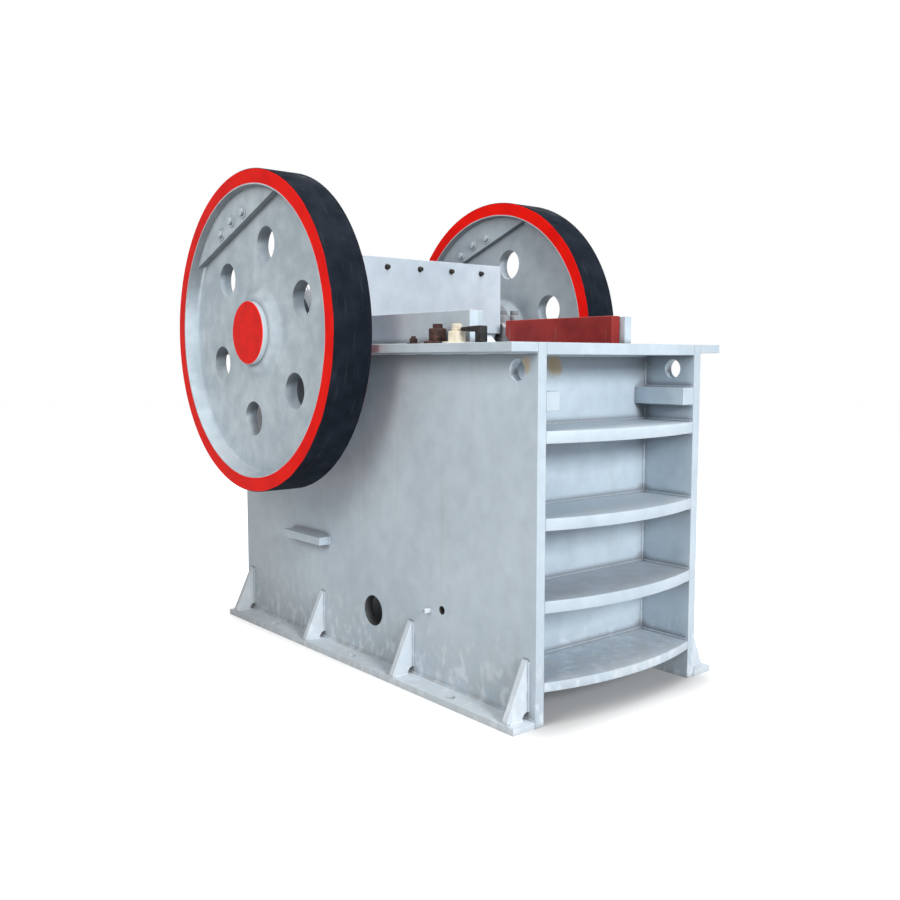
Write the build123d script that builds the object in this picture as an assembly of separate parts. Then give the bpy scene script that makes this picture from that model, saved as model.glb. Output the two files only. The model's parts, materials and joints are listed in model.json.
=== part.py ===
from build123d import *
from math import atan2, cos, degrees, hypot, radians, sin
import os

# Millimetres. X runs along the eccentric shaft, -Y is the ribbed front wall, +Z is up.
# The origin is under the middle of the bounding box, on the floor.

# Frame plates
clear_width = 900
side_thick = 45
top_height = 1480
flange_thick = 36
front_flange_thick = 46
flange_width = 136
foot_width = 119
foot_thick = 28
front_recess = 267
rear_bay_depth = 411
wall_thick = 55
rib_thick = 48
rib_bow_depth = 70
low_rib_height = 172
low_rib_thick = 38
rib_pitch = 320
upper_bay_height = 334
tie_length = 125

# Openings in the side plates
lift_hole_radius = 41
lift_hole_setback = 115
lift_hole_drop = 105
pin_window_radius = 70
pin_window_setback = 1080
pin_window_height = 248
drain_hole_radius = 17
drain_hole_setback = 571
drain_hole_height = 351

# Lifting bars in the top bay
lift_bar_width = 72
lift_bar_depth = 74
lift_bar_drop = 185

# Feet
gusset_height = 235
gusset_thick = 30
gusset_end_gap = 40
gusset_count = 4
gusset_cope_radius = 30
gusset_toe_height = 12
gusset_tip_width = 8
anchor_hole_radius = 21
anchor_setback = 75

# Flywheels and shaft line
wheel_diameter = 1500
wheel_width = 195
wheel_gap = 178
rim_depth = 72
rim_draft_depth = 12
rim_chamfer = 4
web_thick = 60
web_fillet_radius = 18
hub_face_radius = 172
hub_foot_radius = 214
web_hole_radius = 82
web_hole_circle_radius = 415
web_hole_count = 6
web_hole_angle = 20
weight_chord_distance = 520
weight_angle = 110
weight_proud = 34
cap_radius = 149
cap_thick = 30
cap_chamfer = 6
shaft_rise = 62
shaft_rear_reach = 744
shaft_end_radius = 95
journal_radius = 110
eccentric_radius = 130
eccentricity = 16
running_gap = 0.3

# Bearing seats and caps
housing_radius = 215
housing_setback = 6
housing_reach = 145
ear_length = 125
ear_thick = 62
crown_radius = 165
crown_reach = 12
ear_fillet_radius = 28
ear_corner_radius = 20

# Side guards and cheek liners round the feed opening
guard_setback = 391
guard_back_gap = 80
guard_height = 135
liner_thick = 55
liner_rise = 138
liner_setback = 422
liner_overlap = 60
liner_foot_height = 240
liner_split_height = 800

# Crushing chamber
feed_gape = 600
discharge_gap = 100
discharge_height = 230
jaw_base_thick = 55
tooth_depth = 40
fixed_tooth_count = 10
moving_tooth_count = 8
fixed_plate_height = 215
seat_bar_height = 50
seat_bar_depth = 80
jaw_side_gap = 10
plate_end_gap = 26
plate_foot_drop = 10

# Moving jaw
jaw_head_reach = 547
head_radius = 300
head_side_gap = 25
body_inset = 1
cover_side_gap = 13
cover_thick = 20
cover_height = 350
cover_rise = 361
cover_head_gap = 35
crest_length = 90
crest_drop = 15
body_foot_depth = 320
body_low_depth = 270
body_high_depth = 389
pocket_wall = 90
pocket_reach = 460
centre_rib_half = 30
edge_rib_thick = 60
tail_half_width = 32
tail_depth = 60
tail_drop = 40

# Toggle and tension rod
block_length = 315
block_height = 195
block_foot_height = 425
block_side_gap = 55
shim_length = 74
shim_side_gap = 150
rail_height = 60
guide_length = 348
guide_height = 525
guide_depth = 40
guide_width = 60
toggle_thick = 70
toggle_side_gap = 150
toggle_open_gap = 5
toggle_seat_depth = 22
toggle_seat_height = 350
seat_recess_depth = 24
seat_recess_gap = 8
rod_radius = 24
rod_height = 248
rod_slot_gap = 6
rod_end_length = 110
spring_radius = 80
spring_wire_radius = 12
spring_turn_count = 5
spring_length = 230
spring_gap = 16
spring_notch_gap = 35
washer_thick = 20

# Positions worked out from the sizes above
wheel_radius = wheel_diameter / 2
jaw_depth = jaw_base_thick + tooth_depth
shaft_setback = front_recess + wall_thick + jaw_depth + feed_gape + jaw_head_reach
overall_length = rib_bow_depth + shaft_setback + wheel_radius
front = rib_bow_depth - overall_length / 2
inner = clear_width / 2
outer = inner + side_thick
shaft_y = front + shaft_setback
rear = shaft_y + shaft_rear_reach
shaft_z = top_height + shaft_rise
flange_under = top_height - flange_thick
wall_front = front + front_recess
wall_back = wall_front + wall_thick
upper_rib = top_height - upper_bay_height
rear_wall_back = rear - rear_bay_depth
rear_wall_front = rear_wall_back - wall_thick
block_back = rear_wall_front - shim_length
block_front = block_back - block_length
wheel_inside = outer + wheel_gap
wheel_outside = wheel_inside + wheel_width
wheel_middle = wheel_inside + wheel_width / 2
housing_inside = inner + housing_setback
housing_outside = outer + housing_reach
ear_front = shaft_y - housing_radius - ear_length
ear_back = shaft_y + housing_radius + ear_length
jaw_low_y = wall_back + jaw_depth + discharge_gap
jaw_rise = top_height - discharge_height
jaw_run = feed_gape - discharge_gap
jaw_slant = hypot(jaw_rise, jaw_run)
jaw_sin = jaw_run / jaw_slant
jaw_cos = jaw_rise / jaw_slant
jaw_half_width = inner - liner_thick - jaw_side_gap
weight_turn = radians(weight_angle)
ecc_y = shaft_y + eccentricity * cos(weight_turn)
ecc_z = shaft_z - eccentricity * sin(weight_turn)

os.makedirs("parts", exist_ok=True)


def slab(x_from, x_to, y_from, y_to, z_from, z_to):
    middle = Pos((x_from + x_to) / 2, (y_from + y_to) / 2, (z_from + z_to) / 2)
    return middle * Box(abs(x_to - x_from), abs(y_to - y_from), abs(z_to - z_from))


def side_profile(points, x_from, x_to):
    outline = Plane.YZ.offset(x_from) * make_face(Polyline(*points, close=True))
    return extrude(outline, amount=x_to - x_from, dir=(1, 0, 0))


def bar_x(radius, x_from, x_to, y, z):
    return Pos((x_from + x_to) / 2, y, z) * Rot(0, 90, 0) * Cylinder(radius, abs(x_to - x_from))


def bar_y(radius, y_from, y_to, x, z):
    return Pos(x, (y_from + y_to) / 2, z) * Rot(90, 0, 0) * Cylinder(radius, abs(y_to - y_from))


def save(name, shape):
    export_step(shape, os.path.join("parts", name + ".step"))


def save_pair(name, shape):
    save(name + "_right", shape)
    save(name + "_left", mirror(shape, about=Plane.YZ))


# A point on the moving jaw: how far up its crushing face, and how far behind that face
def jaw_point(up_face, behind):
    y = jaw_low_y + up_face * jaw_sin + behind * jaw_cos
    z = discharge_height + up_face * jaw_cos - behind * jaw_sin
    return (y, z)


# Side plates: the round bearing seat, lifting hole, pin window and drain hole go right through
housing_round = bar_x(housing_radius + running_gap, 0, 2 * housing_outside, shaft_y, shaft_z)
side_plate = slab(inner, outer, front, rear, 0, top_height) - housing_round
side_plate -= bar_x(lift_hole_radius, 0, 2 * outer, front + lift_hole_setback, top_height - lift_hole_drop)
side_plate -= bar_x(pin_window_radius, 0, 2 * outer, front + pin_window_setback, pin_window_height)
side_plate -= bar_x(drain_hole_radius, 0, 2 * outer, front + drain_hole_setback, drain_hole_height)
save_pair("side_plate", side_plate)

# Front wall, set back between the side plates, and its ribs that bow forward
wall_foot = low_rib_height - low_rib_thick
save("front_wall", slab(-inner, inner, wall_front, wall_back, wall_foot, top_height))


def front_rib(top, thick):
    bow = ThreePointArc((-inner, front), (0, front - rib_bow_depth), (inner, front))
    sides = Polyline((inner, front), (inner, wall_front), (-inner, wall_front), (-inner, front))
    return extrude(Pos(0, 0, top - thick) * make_face(bow + sides), amount=thick, dir=(0, 0, 1))


front_ribs = front_rib(low_rib_height, low_rib_thick) + front_rib(upper_rib, rib_thick)
front_ribs += front_rib(low_rib_height + rib_pitch, rib_thick)
front_ribs += front_rib(low_rib_height + 2 * rib_pitch, rib_thick)
save("front_ribs", front_ribs)

# Rear wall with a hole that the tension rod moves in, and straight ribs behind it
rod_hole_radius = rod_radius + 2 * eccentricity + rod_slot_gap
rod_hole = bar_y(rod_hole_radius, rear_wall_front, rear_wall_back, 0, rod_height + eccentricity)
save("rear_wall", slab(-inner, inner, rear_wall_front, rear_wall_back, wall_foot, upper_rib) - rod_hole)


def rear_rib(top, thick):
    return slab(-inner, inner, rear_wall_back, rear, top - thick, top)


notch_half = spring_radius + spring_notch_gap
spring_notch = slab(-notch_half, notch_half, rear_wall_back, rear, wall_foot, low_rib_height)
rear_ribs = rear_rib(low_rib_height, low_rib_thick) - spring_notch + rear_rib(upper_rib, rib_thick)
rear_ribs += rear_rib(low_rib_height + rib_pitch, rib_thick)
rear_ribs += rear_rib(low_rib_height + 2 * rib_pitch, rib_thick)
save("rear_ribs", rear_ribs)
save("rear_top_tie", slab(-inner, inner, rear - tie_length, rear, flange_under, top_height))

# Top flanges, and the lifting bars in the top bay below the front one
save("top_flange_front", slab(-inner, inner, front, wall_front, top_height - front_flange_thick, top_height))
top_flange = slab(outer, outer + flange_width, front, rear, flange_under, top_height)
save_pair("top_flange", top_flange - housing_round)
bar_top = top_height - lift_bar_drop
save_pair("lifting_bar", slab(inner - lift_bar_width, inner, front, wall_front,
                              bar_top - lift_bar_depth, bar_top))

# Feet with anchor holes midway between the gussets
gusset_first = front + gusset_end_gap + gusset_thick / 2
gusset_last = rear - gusset_end_gap - gusset_thick / 2
gusset_pitch = (gusset_last - gusset_first) / (gusset_count - 1)
foot = slab(outer, outer + foot_width, front, rear, 0, foot_thick)
for bay in range(gusset_count - 1):
    anchor_y = gusset_first + (bay + 0.5) * gusset_pitch
    foot -= Pos(outer + anchor_setback, anchor_y, foot_thick / 2) * Cylinder(anchor_hole_radius, foot_thick)
save_pair("foot", foot)

# Gussets: a triangle with blunt tips, coped at the inner corner
gusset_top = foot_thick + gusset_height
gusset_toe = outer + foot_width - gusset_tip_width
gusset_face = make_face(Polyline((outer, foot_thick), (gusset_toe, foot_thick),
                                 (gusset_toe, foot_thick + gusset_toe_height),
                                 (outer + gusset_tip_width, gusset_top), (outer, gusset_top), close=True))
gusset_face -= Pos(outer, foot_thick) * Circle(gusset_cope_radius)
gusset = extrude(Plane.XZ * gusset_face, amount=gusset_thick / 2, both=True)
gussets = Part()
for number in range(gusset_count):
    gussets += Pos(0, gusset_first + number * gusset_pitch, 0) * gusset
save_pair("foot_gussets", gussets)

# Raised side guards on the side plates, and cheek liners inside them that follow the moving jaw's slope
guard_front = front + guard_setback
guard_back = ear_front - guard_back_gap
save_pair("side_guard", slab(inner, outer, guard_front, guard_back, top_height, top_height + guard_height))
liner_front = front + liner_setback
liner_inside = inner - liner_thick
slope = jaw_run / jaw_rise
slope_start_y = jaw_point(0, liner_overlap)[0]
slope_start_z = jaw_point(0, liner_overlap)[1]
liner_foot_y = slope_start_y + (liner_foot_height - slope_start_z) * slope
liner_split_y = slope_start_y + (liner_split_height - slope_start_z) * slope
liner_top_y = slope_start_y + (top_height - slope_start_z) * slope
save_pair("cheek_liner_upper", side_profile(
    [(liner_front, liner_split_height), (liner_split_y, liner_split_height), (liner_top_y, top_height),
     (guard_back, top_height + liner_overlap), (guard_back, top_height + liner_rise),
     (liner_front, top_height + liner_rise)], liner_inside, inner))
save_pair("cheek_liner_lower", side_profile(
    [(liner_front, liner_foot_height), (liner_foot_y, liner_foot_height),
     (liner_split_y, liner_split_height), (liner_front, liner_split_height)], liner_inside, inner))


# Jaw plates with upright teeth, drawn across the plate with the teeth up
def tooth_outline(half_width, teeth):
    pitch = 2 * half_width / teeth
    points = [(-half_width, 0), (half_width, 0)]
    for number in range(teeth):
        right = half_width - number * pitch
        points.append((right, jaw_base_thick))
        points.append((right - pitch * 0.36, jaw_depth))
        points.append((right - pitch * 0.64, jaw_depth))
    points.append((-half_width, jaw_base_thick))
    return make_face(Polyline(*points, close=True))


fixed_plane = Plane(origin=(0, wall_back, fixed_plate_height), x_dir=(1, 0, 0), z_dir=(0, 0, 1))
fixed_length = top_height - fixed_plate_height
save("fixed_jaw_plate", extrude(fixed_plane * tooth_outline(inner, fixed_tooth_count),
                                amount=fixed_length, dir=(0, 0, 1)))
save("jaw_plate_seat", slab(-inner, inner, wall_back, wall_back + seat_bar_depth,
                            fixed_plate_height - seat_bar_height, fixed_plate_height))
plate_low = jaw_point(-plate_foot_drop, jaw_depth)
plate_length_up = jaw_slant - plate_end_gap
moving_plane = Plane(origin=(0, plate_low[0], plate_low[1]), x_dir=(1, 0, 0), z_dir=(0, -jaw_sin, -jaw_cos))
save("moving_jaw_plate", extrude(moving_plane * tooth_outline(jaw_half_width, moving_tooth_count),
                                 amount=plate_length_up, dir=(0, jaw_sin, jaw_cos)))

# Moving jaw casting: body behind the jaw plate, head round the eccentric, crest behind the cover plate
cover_back = shaft_y - head_radius - cover_head_gap + cover_thick
cover_top = shaft_z + cover_rise
cover_foot = cover_top - cover_height
head_half_width = inner - head_side_gap
body_half_width = jaw_half_width - body_inset
body_foot_y = jaw_low_y + body_foot_depth
body_points = [plate_low, jaw_point(plate_length_up - plate_end_gap, jaw_depth),
               (cover_back, cover_foot), (ecc_y, ecc_z),
               (ecc_y + head_radius * 0.4, ecc_z - head_radius * 0.6),
               jaw_point(jaw_slant * 0.81, body_high_depth), jaw_point(jaw_slant * 0.28, body_low_depth),
               (body_foot_y, toggle_seat_height + toggle_thick), (body_foot_y, plate_low[1])]
head_points = [(cover_back, cover_foot), (cover_back, cover_top - crest_drop),
               (cover_back + crest_length, cover_top - crest_drop),
               (ecc_y - head_radius * 0.2, ecc_z + head_radius * 0.97), (ecc_y, ecc_z),
               (ecc_y - head_radius * 0.5, ecc_z - head_radius * 0.7)]
jaw_casting = side_profile(body_points, -body_half_width, body_half_width)
jaw_casting += side_profile(head_points, -head_half_width, head_half_width)
jaw_casting += bar_x(head_radius, -head_half_width, head_half_width, ecc_y, ecc_z)

# Pockets between the ribs on the casting's back
pocket = side_profile([jaw_point(jaw_slant * 0.23, jaw_depth + pocket_wall),
                       jaw_point(jaw_slant * 0.69, jaw_depth + pocket_wall),
                       jaw_point(jaw_slant * 0.75, pocket_reach), jaw_point(jaw_slant * 0.34, pocket_reach)],
                      centre_rib_half, body_half_width - edge_rib_thick)
jaw_casting -= pocket
jaw_casting -= mirror(pocket, about=Plane.YZ)

# Toggle seat recess, tail lug of the tension rod, and the bore on the eccentric
toggle_half_width = inner - toggle_side_gap
recess_half = toggle_thick / 2 + 2 * eccentricity + seat_recess_gap
recess_half_width = toggle_half_width + 2 * jaw_side_gap
jaw_casting -= slab(-recess_half_width, recess_half_width, body_foot_y - seat_recess_depth, body_foot_y,
                    toggle_seat_height - recess_half, toggle_seat_height + recess_half)
tail_y = front + pin_window_setback
jaw_casting += slab(-tail_half_width, tail_half_width, body_foot_y - seat_recess_depth, tail_y,
                    rod_height - tail_drop, rod_height - tail_drop + tail_depth)
jaw_casting -= bar_x(eccentric_radius + running_gap, -inner, inner, ecc_y, ecc_z)
save("moving_jaw", jaw_casting)
cover_half_width = inner - cover_side_gap
save("jaw_head_cover", slab(-cover_half_width, cover_half_width, cover_back - cover_thick, cover_back,
                            cover_foot, cover_top))

# Bearing seats in the side plates and caps over them, split at the shaft line
journal_hole = bar_x(journal_radius + running_gap, 0, 2 * housing_outside, shaft_y, shaft_z)
barrel = bar_x(housing_radius, housing_inside, housing_outside, shaft_y, shaft_z)
barrel += bar_x(crown_radius, housing_outside, housing_outside + crown_reach, shaft_y, shaft_z)
ear_outside = outer + flange_width
lower_ears = slab(housing_inside, ear_outside, ear_front, ear_back, top_height, shaft_z)
upper_ears = slab(housing_inside, ear_outside, ear_front, ear_back, shaft_z, shaft_z + ear_thick)
below_split = slab(0, 2 * housing_outside, ear_front, ear_back, 0, shaft_z)
save_pair("bearing_seat", ((barrel & below_split) + lower_ears) - journal_hole)
bearing_cap = (barrel - below_split) + upper_ears
ear_lines = bearing_cap.edges().filter_by(Axis.X).group_by(Axis.Z)[-1].sort_by(Axis.Y)
bearing_cap = fillet([ear_lines[0], ear_lines[-1]], ear_corner_radius)
ear_lines = bearing_cap.edges().filter_by(Axis.X).group_by(Axis.Z)[-1].sort_by(Axis.Y)
bearing_cap = fillet(ear_lines[1:-1], ear_fillet_radius)
save_pair("bearing_cap", bearing_cap - journal_hole)

# Flywheel: a turned section with drafted rim and hub, round its own axis
rim_inner = wheel_radius - rim_depth
web_inside = wheel_middle - web_thick / 2
web_outside = wheel_middle + web_thick / 2
hub_outside = wheel_outside - cap_thick
bore_radius = shaft_end_radius + running_gap
section = make_face(Polyline(
    (wheel_inside, bore_radius), (wheel_inside, hub_face_radius), (web_inside, hub_foot_radius),
    (web_inside, rim_inner - rim_draft_depth), (wheel_inside, rim_inner),
    (wheel_inside, wheel_radius - rim_chamfer), (wheel_inside + rim_chamfer, wheel_radius),
    (wheel_outside - rim_chamfer, wheel_radius), (wheel_outside, wheel_radius - rim_chamfer),
    (wheel_outside, rim_inner), (web_outside, rim_inner - rim_draft_depth), (web_outside, hub_foot_radius),
    (hub_outside, hub_face_radius), (hub_outside, bore_radius), close=True))
web_corners = section.vertices().filter_by(lambda corner: web_inside - 1 < corner.X < web_outside + 1)
section = fillet(web_corners, web_fillet_radius)
wheel = revolve(Plane.XZ * section, axis=Axis.X)

# The balance segment lies beyond a chord, whose normal is turned from the front towards the top
along = (sin(weight_turn), cos(weight_turn))
normal = (-cos(weight_turn), sin(weight_turn))
segment_corners = []
for distance, side in ((weight_chord_distance, -1), (weight_chord_distance, 1),
                       (wheel_radius, 1), (wheel_radius, -1)):
    corner_y = normal[0] * distance + side * along[0] * wheel_radius
    corner_z = normal[1] * distance + side * along[1] * wheel_radius
    segment_corners.append((corner_y, corner_z))
segment = side_profile(segment_corners, web_inside - weight_proud, web_outside + weight_proud)
wheel += segment & bar_x(wheel_radius - rim_depth / 2, wheel_inside, wheel_outside, 0, 0)
for number in range(web_hole_count):
    hole_turn = radians(web_hole_angle + number * 360 / web_hole_count)
    wheel -= bar_x(web_hole_radius, wheel_inside, wheel_outside,
                   -web_hole_circle_radius * cos(hole_turn), web_hole_circle_radius * sin(hole_turn))
save_pair("flywheel", Pos(0, shaft_y, shaft_z) * wheel)

# Hub caps and the eccentric shaft
cap = bar_x(cap_radius, hub_outside, wheel_outside, shaft_y, shaft_z)
cap = chamfer(cap.faces().sort_by(Axis.X)[-1].edges(), cap_chamfer)
save_pair("hub_cap", cap)
shaft = bar_x(eccentric_radius, -head_half_width, head_half_width, ecc_y, ecc_z)
for side in (-1, 1):
    shaft += bar_x(journal_radius, side * head_half_width, side * wheel_inside, shaft_y, shaft_z)
    shaft += bar_x(shaft_end_radius, side * wheel_inside, side * hub_outside, shaft_y, shaft_z)
save("eccentric_shaft", shaft)

# Toggle plate with rounded ends: one sits in the block, the other stays clear of the jaw that moves round it
block_half_width = inner - block_side_gap
block_top = block_foot_height + block_height
toggle_half = toggle_thick / 2
toggle_low = (body_foot_y + toggle_open_gap + toggle_half, toggle_seat_height)
toggle_high = (block_front + toggle_seat_depth - toggle_half, block_foot_height + block_height / 2)
toggle_run = toggle_high[0] - toggle_low[0]
toggle_rise = toggle_high[1] - toggle_low[1]
toggle_middle = Pos((toggle_low[0] + toggle_high[0]) / 2, (toggle_low[1] + toggle_high[1]) / 2)
toggle_turn = degrees(atan2(toggle_rise, toggle_run))
toggle_outline = SlotCenterToCenter(hypot(toggle_run, toggle_rise), toggle_thick, rotation=toggle_turn)
toggle_plane = Plane.YZ.offset(-toggle_half_width)
save("toggle_plate", extrude(toggle_plane * toggle_middle * toggle_outline,
                             amount=2 * toggle_half_width, dir=(1, 0, 0)))

# Toggle block between its rails, shims behind it, and the guide lugs outside the side plates
shim_half_width = inner - shim_side_gap
toggle_block = slab(-block_half_width, block_half_width, block_front, block_back,
                    block_foot_height, block_top)
toggle_block -= bar_x(toggle_half + running_gap, -block_half_width, block_half_width,
                      toggle_high[0], toggle_high[1])
save("toggle_block", toggle_block)
save("toggle_shims", slab(-shim_half_width, shim_half_width, block_back, rear_wall_front,
                          block_foot_height, block_top))
toggle_rail = slab(block_half_width, inner, block_front, rear_wall_front,
                   block_foot_height, block_foot_height + rail_height)
save("toggle_rails", toggle_rail + mirror(toggle_rail, about=Plane.YZ))
save_pair("toggle_guide", slab(outer, outer + guide_width, block_front, block_front + guide_length,
                               guide_height - guide_depth / 2, guide_height + guide_depth / 2))

# Tension rod from the tail lug through the rear wall, with its washer and spring behind the wall
washer_y = rear_wall_back + spring_length + spring_gap
save("tension_rod", bar_y(rod_radius, tail_y, washer_y + rod_end_length, 0, rod_height))
washer = bar_y(spring_radius + spring_wire_radius, washer_y, washer_y + washer_thick, 0, rod_height)
washer -= bar_y(rod_radius + running_gap, washer_y, washer_y + washer_thick, 0, rod_height)
save("tension_washer", washer)
coil_height = spring_length - 3 * spring_wire_radius
coil_path = Helix(pitch=coil_height / spring_turn_count, height=coil_height, radius=spring_radius)
coil_section = Plane(origin=coil_path @ 0, z_dir=coil_path % 0) * RegularPolygon(spring_wire_radius, 6)
coil_foot = rear_wall_back + 2 * spring_wire_radius + running_gap
coil = Pos(0, coil_foot, rod_height) * Rot(-90, 0, 0) * sweep(coil_section, path=coil_path)
ring_back = rear_wall_back + spring_wire_radius
seat_ring = bar_y(spring_radius + spring_wire_radius, rear_wall_back, ring_back, 0, rod_height)
seat_ring -= bar_y(spring_radius - spring_wire_radius, rear_wall_back, ring_back, 0, rod_height)
save("tension_spring", Compound(children=[coil.solid(), seat_ring.solid()]))
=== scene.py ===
import json
from math import cos, radians, sin

import bpy
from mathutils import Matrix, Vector


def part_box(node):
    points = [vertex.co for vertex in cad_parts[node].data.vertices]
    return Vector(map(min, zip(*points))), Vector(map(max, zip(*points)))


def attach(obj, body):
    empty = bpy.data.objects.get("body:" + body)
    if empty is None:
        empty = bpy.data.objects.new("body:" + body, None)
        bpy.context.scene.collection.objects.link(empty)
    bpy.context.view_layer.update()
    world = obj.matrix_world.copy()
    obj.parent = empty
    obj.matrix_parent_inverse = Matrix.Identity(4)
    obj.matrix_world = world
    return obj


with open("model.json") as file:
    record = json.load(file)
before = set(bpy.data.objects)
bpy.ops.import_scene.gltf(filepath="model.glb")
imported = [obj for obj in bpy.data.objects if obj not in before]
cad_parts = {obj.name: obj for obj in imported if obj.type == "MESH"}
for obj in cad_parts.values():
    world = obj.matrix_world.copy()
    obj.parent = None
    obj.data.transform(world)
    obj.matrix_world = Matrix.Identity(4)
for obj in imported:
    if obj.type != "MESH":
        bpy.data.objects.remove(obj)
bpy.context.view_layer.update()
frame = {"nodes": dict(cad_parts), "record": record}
nodes = frame["nodes"]
print("frame loaded:", len(nodes), "nodes")

# places on the machine in metres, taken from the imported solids
sideLow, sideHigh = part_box("side_plate_right")
innerX = sideLow.x
outerX = sideHigh.x
frontY = sideLow.y
rearY = sideHigh.y
topZ = sideHigh.z
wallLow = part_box("front_wall")[0]
wallFrontY = wallLow.y
rearWallLow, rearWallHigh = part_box("rear_wall")
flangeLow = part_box("top_flange_right")[0]
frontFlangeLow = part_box("top_flange_front")[0]
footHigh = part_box("foot_right")[1]
wheelLow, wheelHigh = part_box("flywheel_right")
shaftY = (wheelLow.y + wheelHigh.y) / 2
shaftZ = (wheelLow.z + wheelHigh.z) / 2
capLow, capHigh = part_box("bearing_cap_right")
coverLow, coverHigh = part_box("jaw_head_cover")
rodZ = 0.248  # height of the tension rod
sides = ((-1, "Left"), (1, "Right"))


# shader maths: a Value is a socket that can be added, subtracted and multiplied
class Value:
    def __init__(self, owner, socket):
        self.owner = owner
        self.socket = socket

    def maths(self, operation, first, second):
        return self.owner.add("ShaderNodeMath", {"operation": operation}, {0: first, 1: second})

    def __add__(self, other):
        return self.maths("ADD", self, other)

    def __radd__(self, other):
        return self.maths("ADD", other, self)

    def __sub__(self, other):
        return self.maths("SUBTRACT", self, other)

    def __rsub__(self, other):
        return self.maths("SUBTRACT", other, self)

    def __mul__(self, other):
        return self.maths("MULTIPLY", self, other)

    def __rmul__(self, other):
        return self.maths("MULTIPLY", other, self)


# a node tree, and the one way in which nodes are added to it
class Nodes:
    def __init__(self, tree):
        self.tree = tree

    def add(self, kind, settings, inputs, output=0):
        node = self.tree.nodes.new(kind)
        for key, value in settings.items():
            setattr(node, key, value)
        for key, value in inputs.items():
            self.fill(node.inputs[key], value)
        return Value(self, node.outputs[output])

    def fill(self, socket, value):
        if isinstance(value, Value):
            self.tree.links.new(value.socket, socket)
        else:
            socket.default_value = value


# one material and its nodes; distances are in metres
class Finish(Nodes):
    def __init__(self, name):
        self.material = bpy.data.materials.new(name)
        self.material.use_nodes = True
        super().__init__(self.material.node_tree)
        self.shader = self.tree.nodes["Principled BSDF"]
        self.shader.inputs["Specular IOR Level"].default_value = 0.25
        self.place = self.add("ShaderNodeTexCoord", {}, {}, "Object")
        self.facing = self.add("ShaderNodeNewGeometry", {}, {}, "Normal")

    def feed(self, **inputs):
        for key, value in inputs.items():
            self.fill(self.shader.inputs[key.replace("_", " ")], value)

    def axis(self, vector, letter):
        return self.add("ShaderNodeSeparateXYZ", {}, {0: vector}, letter)

    def absolute(self, value):
        return self.add("ShaderNodeMath", {"operation": "ABSOLUTE"}, {0: value})

    def vector(self, operation, first, second=(0, 0, 0), output=0):
        return self.add("ShaderNodeVectorMath", {"operation": operation}, {0: first, 1: second}, output)

    def up(self):
        return self.axis(self.facing, "Z")

    def level(self):
        return self.axis(self.place, "Z")

    def aside(self):
        return self.absolute(self.axis(self.place, "X"))

    def sideways(self):
        return self.absolute(self.axis(self.facing, "X"))

    def noise(self, scale, detail=3.0, stretch=(1, 1, 1), shift=(0, 0, 0)):
        spot = self.add("ShaderNodeMapping", {}, {"Vector": self.place, "Location": shift, "Scale": stretch})
        return self.add("ShaderNodeTexNoise", {}, {"Vector": spot, "Scale": scale, "Detail": detail}, "Fac")

    def ease(self, value, low, high, first=0.0, last=1.0):
        return self.add("ShaderNodeMapRange", {"interpolation_type": "SMOOTHSTEP"},
                        {"Value": value, "From Min": low, "From Max": high, "To Min": first, "To Max": last})

    def fade(self, value, low, high):
        return self.ease(value, low, high, 1.0, 0.0)

    def blend(self, amount, first, second):
        return self.add("ShaderNodeMix", {"data_type": "RGBA"}, {0: amount, 6: first, 7: second}, 2)

    def bump(self, height, strength, distance):
        return self.add("ShaderNodeBump", {}, {"Strength": strength, "Distance": distance, "Height": height})

    # distance from a line along x
    def fromLine(self, point):
        away = self.vector("SUBTRACT", self.place, point)
        return self.vector("LENGTH", self.vector("MULTIPLY", away, (0, 1, 1)), output="Value")

    def fromShaft(self):
        return self.fromLine((0, shaftY, shaftZ))

    def corners(self, reach):
        return 1 - self.add("ShaderNodeAmbientOcclusion", {"samples": 4}, {"Distance": reach}, "AO")

    # what is close above a surface, or close below it with a lift under 0
    def shelter(self, reach, lift=0.9):
        tilted = self.vector("NORMALIZE", self.vector("ADD", self.facing, (0, 0, lift)))
        nearby = {"Distance": reach, "Normal": tilted}
        return 1 - self.add("ShaderNodeAmbientOcclusion", {"samples": 4}, nearby, "AO")

    def edges(self, reach):
        rounded = self.add("ShaderNodeBevel", {"samples": 4}, {"Radius": reach})
        return 1 - self.vector("DOT_PRODUCT", rounded, self.facing, "Value")

    # worn edges, broken up by a pattern
    def wear(self, reach, pattern, low, high):
        return self.ease(self.edges(reach) + (pattern - 0.5) * 0.5, low, high)


# how far each mask of painted shade and wear reaches from its edge or corner, between which heights it ends,
# and the height at which the painted shade on the rib tops is darkest
shadeAndWearReach = {"cornerShade": 0.05, "overhangShade": 0.16, "line": 0.075, "wallFootShade": 0.055, "chips": 0.007}
dirtAndShadeHeights = {"splash": (0.02, 0.38), "ribTopShade": (1.16, 1.26), "ribShadeDarkestAt": 0.49, "wallFootShade": (0.10, 0.14)}
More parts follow.
